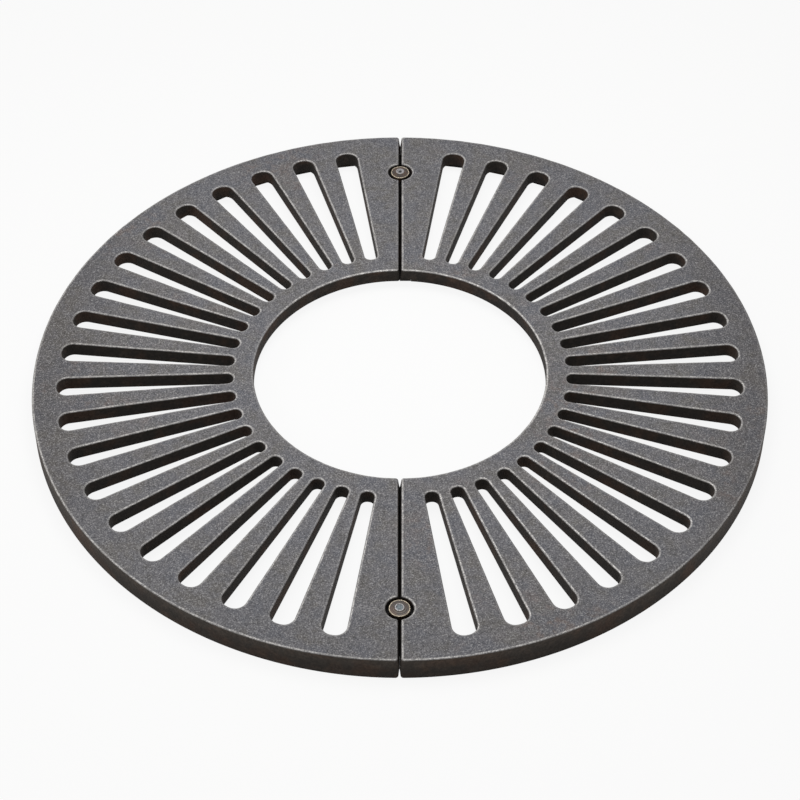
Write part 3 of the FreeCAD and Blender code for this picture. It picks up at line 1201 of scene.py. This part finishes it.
def studio_paper(finishes):
    """Matt white paper that glows enough to look as white as the air round it."""
    material, tree = new_material("studio_paper_matt")
    glowing = {0: seen(tree), 1: PAPER_GLOW}
    shader = add(tree, "MixShader", {
        0: add(tree, "Math", glowing, operation="MULTIPLY"),
        1: add(tree, "BsdfDiffuse", {0: finishes.paper}),
        2: add(tree, "Emission", {0: WHITE, 1: 1.0}),
    })
    add(tree, "OutputMaterial", {0: shader})
    return material


def studio_air():
    """A white world: bright where it is seen, also in a reflection, and dimmer as light."""
    world = bpy.data.worlds.new("studio_air")
    world.use_nodes = True
    tree = world.node_tree
    tree.nodes.clear()
    strength = share(tree, (seen(tree), 0.0, 1.0, AIR_LIGHT, AIR_SEEN))
    air = add(tree, "Background", {0: WHITE, 1: strength})
    add(tree, "OutputWorld", {0: air})
    return world


# Operators


ENDS = (("front", -1), ("rear", 1))


class TREEGRATE_OT_castings(bpy.types.Operator):
    """Build both sand-cast halves, with the ledges of the half-lap on the left one"""

    bl_idname = "treegrate.castings"
    bl_label = "Build Castings"

    def execute(self, context):
        sizes = context.scene.grate_sizes
        material = sand_cast_iron(sizes, context.scene.grate_finishes)
        right = casting_skin(sizes, with_ledge=False).mesh("right_casting", WEAR_AND_HIGHLIGHT)
        left = casting_skin(sizes, with_ledge=True).mesh("left_casting", WEAR_AND_HIGHLIGHT, mirrored=True)
        build_piece(right, material, "right_half_grate")
        build_piece(left, material, "left_half_grate")
        return {"FINISHED"}


class TREEGRATE_OT_screws(bpy.types.Operator):
    """Build both screws, with their rubbed rings, sockets and threads"""

    bl_idname = "treegrate.screws"
    bl_label = "Build Screws"

    def execute(self, context):
        scene, sizes = context.scene, context.scene.grate_sizes
        material = weathered_screw_steel(sizes, scene.grate_finishes)
        for end, side in ENDS:
            skin = screw_skin(scene.grate_fasteners, sizes, side * sizes.screw_place)
            mesh = skin.mesh(end + "_socket_screw", PART)
            build_piece(mesh, material, end + "_screw")
        return {"FINISHED"}


class TREEGRATE_OT_nuts(bpy.types.Operator):
    """Build both chamfered nuts, and finish them and the spring washers in dulled zinc"""

    bl_idname = "treegrate.nuts"
    bl_label = "Build Nuts, Finish Washers"

    def execute(self, context):
        scene = context.scene
        material = dulled_zinc(scene.grate_finishes)
        for end, side in ENDS:
            skin = nut_skin(scene.grate_fasteners, side * scene.grate_sizes.screw_place)
            mesh = skin.mesh(end + "_thin_nut", PART)
            build_piece(mesh, material, end + "_nut")
            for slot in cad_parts[end + "_spring_washer"].material_slots:
                slot.material = material
        return {"FINISHED"}


class TREEGRATE_OT_stage(bpy.types.Operator):
    """Lay the pale floor, hang the soft lamps and set the camera"""

    bl_idname = "treegrate.stage"
    bl_label = "Set Stage"

    def execute(self, context):
        scene = context.scene
        half = FLOOR_HALF_WIDTH
        corners = [(-half, -half, 0), (half, -half, 0), (half, half, 0), (-half, half, 0)]
        mesh = bpy.data.meshes.new("paper_floor")
        mesh.from_pydata(corners, [], [(0, 1, 2, 3)])
        mesh.materials.append(studio_paper(scene.grate_finishes))
        floor = bpy.data.objects.new("paper_floor", mesh)
        scene.collection.objects.link(floor)
        scene.world = studio_air()

        for name, place, width, power in SOFTBOXES:
            lamp = bpy.data.lights.new(name, "AREA")
            lamp.shape = "DISK"
            lamp.size = width
            lamp.energy = power
            holder = bpy.data.objects.new(name, lamp)
            holder.location = place
            holder.rotation_euler = (-Vector(place)).to_track_quat("-Z", "Y").to_euler()
            scene.collection.objects.link(holder)

        camera = bpy.data.cameras.new("camera")
        camera.lens = CAMERA_LENS
        camera.sensor_width = CAMERA_SENSOR
        holder = bpy.data.objects.new("camera", camera)
        scene.collection.objects.link(holder)
        away = Vector((0, -math.cos(CAMERA_TILT), math.sin(CAMERA_TILT))) * CAMERA_DISTANCE
        holder.location = Vector((*CAMERA_AIM, scene.grate_sizes.rim_depth)) + away
        turn = Matrix.Rotation(QUARTER - CAMERA_TILT, 3, "X")
        holder.rotation_euler = (turn @ Matrix.Rotation(CAMERA_ROLL, 3, "Z")).to_euler()
        scene.camera = holder
        scene.view_settings.view_transform = "Standard"
        return {"FINISHED"}


GROUPS = {
    "grate_sizes": GrateSizes, "grate_fasteners": FastenerSizes, "grate_finishes": Finishes,
}
OPERATORS = (
    TREEGRATE_OT_castings, TREEGRATE_OT_screws, TREEGRATE_OT_nuts, TREEGRATE_OT_stage,
)


class TREEGRATE_PT_panel(bpy.types.Panel):
    """Lists the steps that build the grate"""

    bl_idname = "TREEGRATE_PT_panel"
    bl_label = "Tree Grate"
    bl_space_type = "VIEW_3D"
    bl_region_type = "UI"
    bl_category = "Tree Grate"

    def draw(self, context):
        for operator in OPERATORS:
            self.layout.operator(operator.bl_idname)
        for group in (getattr(context.scene, name) for name in GROUPS):
            box = self.layout.box()
            for name in group.__annotations__:
                box.prop(group, name)


def register():
    for cls in (*GROUPS.values(), *OPERATORS, TREEGRATE_PT_panel):
        bpy.utils.register_class(cls)
    for name, group in GROUPS.items():
        setattr(bpy.types.Scene, name, PointerProperty(type=group))


def unregister():
    for name in reversed(GROUPS):
        delattr(bpy.types.Scene, name)
    for cls in (TREEGRATE_PT_panel, *reversed(OPERATORS), *reversed(GROUPS.values())):
        bpy.utils.unregister_class(cls)


def main():
    register()
    bpy.ops.treegrate.castings()
    bpy.ops.treegrate.screws()
    bpy.ops.treegrate.nuts()
    bpy.ops.treegrate.stage()


if __name__ == "__main__":
    main()
